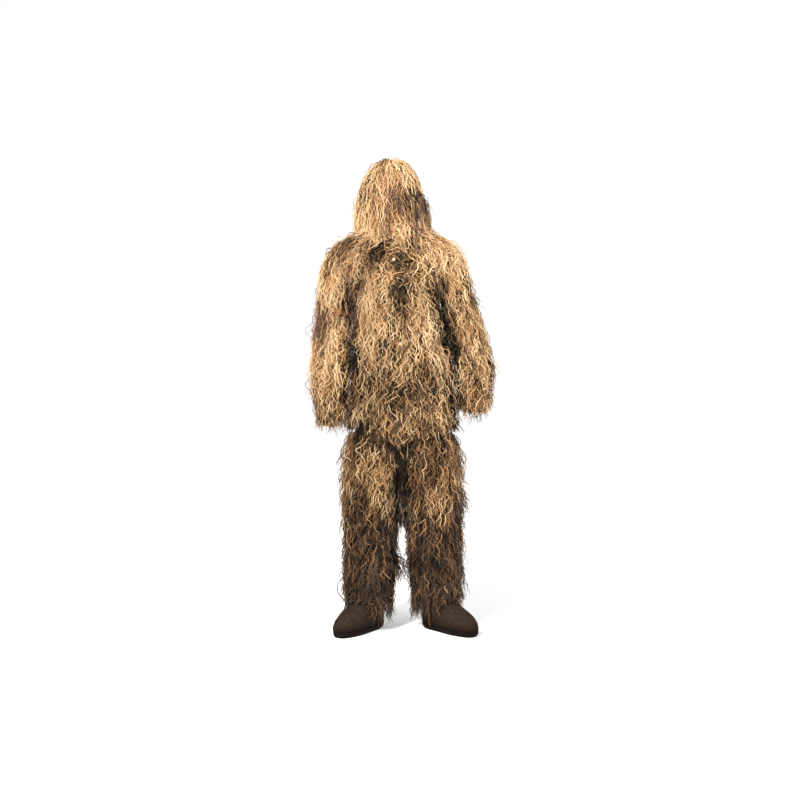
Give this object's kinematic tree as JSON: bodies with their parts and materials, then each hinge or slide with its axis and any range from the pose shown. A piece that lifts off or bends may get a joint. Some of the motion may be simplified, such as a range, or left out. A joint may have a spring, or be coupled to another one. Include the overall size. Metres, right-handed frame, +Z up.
{
  "type": "ghillie suit",
  "caption": "Hooded jacket and trousers of netting covered with tiers of hanging straw and brown yarn, jointed at hood, shoulders, elbows, hips and knees, standing in a pair of boots.",
  "frame": {"origin": "on the floor, under the middle of the suit's box, between the boots", "axes": "+Z up; the front of the suit faces -Y; the wearer's right side is -X"},
  "size_m": [0.7229, 0.3511, 1.84],
  "materials": {
    "yarn_straw": "loose crimped yarn, matt",
    "yarn_tan": "loose crimped yarn, matt",
    "yarn_brown": "loose crimped yarn, matt",
    "yarn_dark_brown": "loose crimped yarn, matt",
    "netting_cloth": "coarse knotted netting",
    "elastic_webbing": "ribbed elastic webbing",
    "snap_metal": "worn, satin",
    "boot_leather": "smooth, semi-matt",
    "boot_rubber": "matt",
    "insole_felt": "felt",
    "tie_cord": "braided cord, matt"
  },
  "bodies": {
    "torso": {"jacket_netting": "netting_cloth", "jacket_yarn_yoke": "yarn_straw", "jacket_yarn_chest": "yarn_straw", "jacket_yarn_waist": "yarn_tan", "jacket_yarn_hem": "yarn_tan", "jacket_collar_band": "elastic_webbing", "jacket_placket_over": "netting_cloth", "jacket_placket_under": "netting_cloth", "jacket_snap_1": "snap_metal", "jacket_snap_2": "snap_metal", "jacket_snap_3": "snap_metal", "jacket_snap_4": "snap_metal", "jacket_snap_5": "snap_metal", "trousers_waistband": "elastic_webbing", "trousers_netting_seat": "netting_cloth", "trousers_yarn_seat": "yarn_brown", "trousers_gusset": "netting_cloth", "trousers_yarn_crotch": "yarn_dark_brown"},
    "hood": {"hood_netting": "netting_cloth", "hood_yarn_crown": "yarn_straw", "hood_yarn_sides": "yarn_tan", "hood_face_veil": "yarn_straw"},
    "right_upper_sleeve": {"right_sleeve_netting_upper": "netting_cloth", "right_sleeve_yarn_shoulder": "yarn_straw", "right_sleeve_yarn_upper": "yarn_straw"},
    "right_lower_sleeve": {"right_sleeve_netting_lower": "netting_cloth", "right_sleeve_yarn_forearm": "yarn_tan", "right_sleeve_yarn_wrist": "yarn_tan", "right_sleeve_elastic": "elastic_webbing"},
    "right_thigh": {"right_leg_netting_thigh": "netting_cloth", "right_leg_yarn_thigh": "yarn_brown", "right_leg_yarn_knee": "yarn_brown"},
    "right_shin": {"right_leg_netting_shin": "netting_cloth", "right_leg_yarn_shin": "yarn_dark_brown", "right_leg_yarn_cuff": "yarn_dark_brown", "right_leg_elastic": "elastic_webbing", "right_boot_outsole": "boot_rubber", "right_boot_upper": "boot_leather", "right_boot_insole": "insole_felt", "ankle_tie_cord": "tie_cord", "ankle_tie_knot": "tie_cord"},
    "left_upper_sleeve": {"left_sleeve_netting_upper": "netting_cloth", "left_sleeve_yarn_shoulder": "yarn_straw", "left_sleeve_yarn_upper": "yarn_straw"},
    "left_lower_sleeve": {"left_sleeve_netting_lower": "netting_cloth", "left_sleeve_yarn_forearm": "yarn_tan", "left_sleeve_yarn_wrist": "yarn_tan", "left_sleeve_elastic": "elastic_webbing"},
    "left_thigh": {"left_leg_netting_thigh": "netting_cloth", "left_leg_yarn_thigh": "yarn_brown", "left_leg_yarn_knee": "yarn_brown"},
    "left_shin": {"left_leg_netting_shin": "netting_cloth", "left_leg_yarn_shin": "yarn_dark_brown", "left_leg_yarn_cuff": "yarn_dark_brown", "left_leg_elastic": "elastic_webbing", "left_boot_outsole": "boot_rubber", "left_boot_upper": "boot_leather", "left_boot_insole": "insole_felt"}
  },
  "joints": [
    {"name": "hood_tilt", "type": "hinge", "parent": "torso", "child": "hood", "pos_m": [-0.032, 0.092, 1.50544], "axis": [-1, 0, 0], "range_deg": [0, 50]},
    {"name": "right_shoulder_lift", "type": "hinge", "parent": "torso", "child": "right_upper_sleeve", "pos_m": [-0.198, 0, 1.4904], "axis": [0, 1, 0], "range_deg": [0, 60]},
    {"name": "right_elbow_bend", "type": "hinge", "parent": "right_upper_sleeve", "child": "right_lower_sleeve", "pos_m": [-0.27728, -0.028, 1.12976], "axis": [-1, 0, 0], "range_deg": [0, 55]},
    {"name": "right_leg_swing", "type": "hinge", "parent": "torso", "child": "right_thigh", "pos_m": [-0.112, 0, 0.71392], "axis": [-1, 0, 0], "range_deg": [-20, 30]},
    {"name": "right_knee_bend", "type": "hinge", "parent": "right_thigh", "child": "right_shin", "pos_m": [-0.123, 0.042, 0.48024], "axis": [1, 0, 0], "range_deg": [0, 45]},
    {"name": "left_shoulder_lift", "type": "hinge", "parent": "torso", "child": "left_upper_sleeve", "pos_m": [0.134, 0, 1.4904], "axis": [0, -1, 0], "range_deg": [0, 60]},
    {"name": "left_elbow_bend", "type": "hinge", "parent": "left_upper_sleeve", "child": "left_lower_sleeve", "pos_m": [0.26272, -0.028, 1.12976], "axis": [-1, 0, 0], "range_deg": [0, 55]},
    {"name": "left_leg_swing", "type": "hinge", "parent": "torso", "child": "left_thigh", "pos_m": [0.112, 0, 0.71392], "axis": [-1, 0, 0], "range_deg": [-20, 30]},
    {"name": "left_knee_bend", "type": "hinge", "parent": "left_thigh", "child": "left_shin", "pos_m": [0.123, 0.042, 0.48024], "axis": [1, 0, 0], "range_deg": [0, 45]}
  ]
}
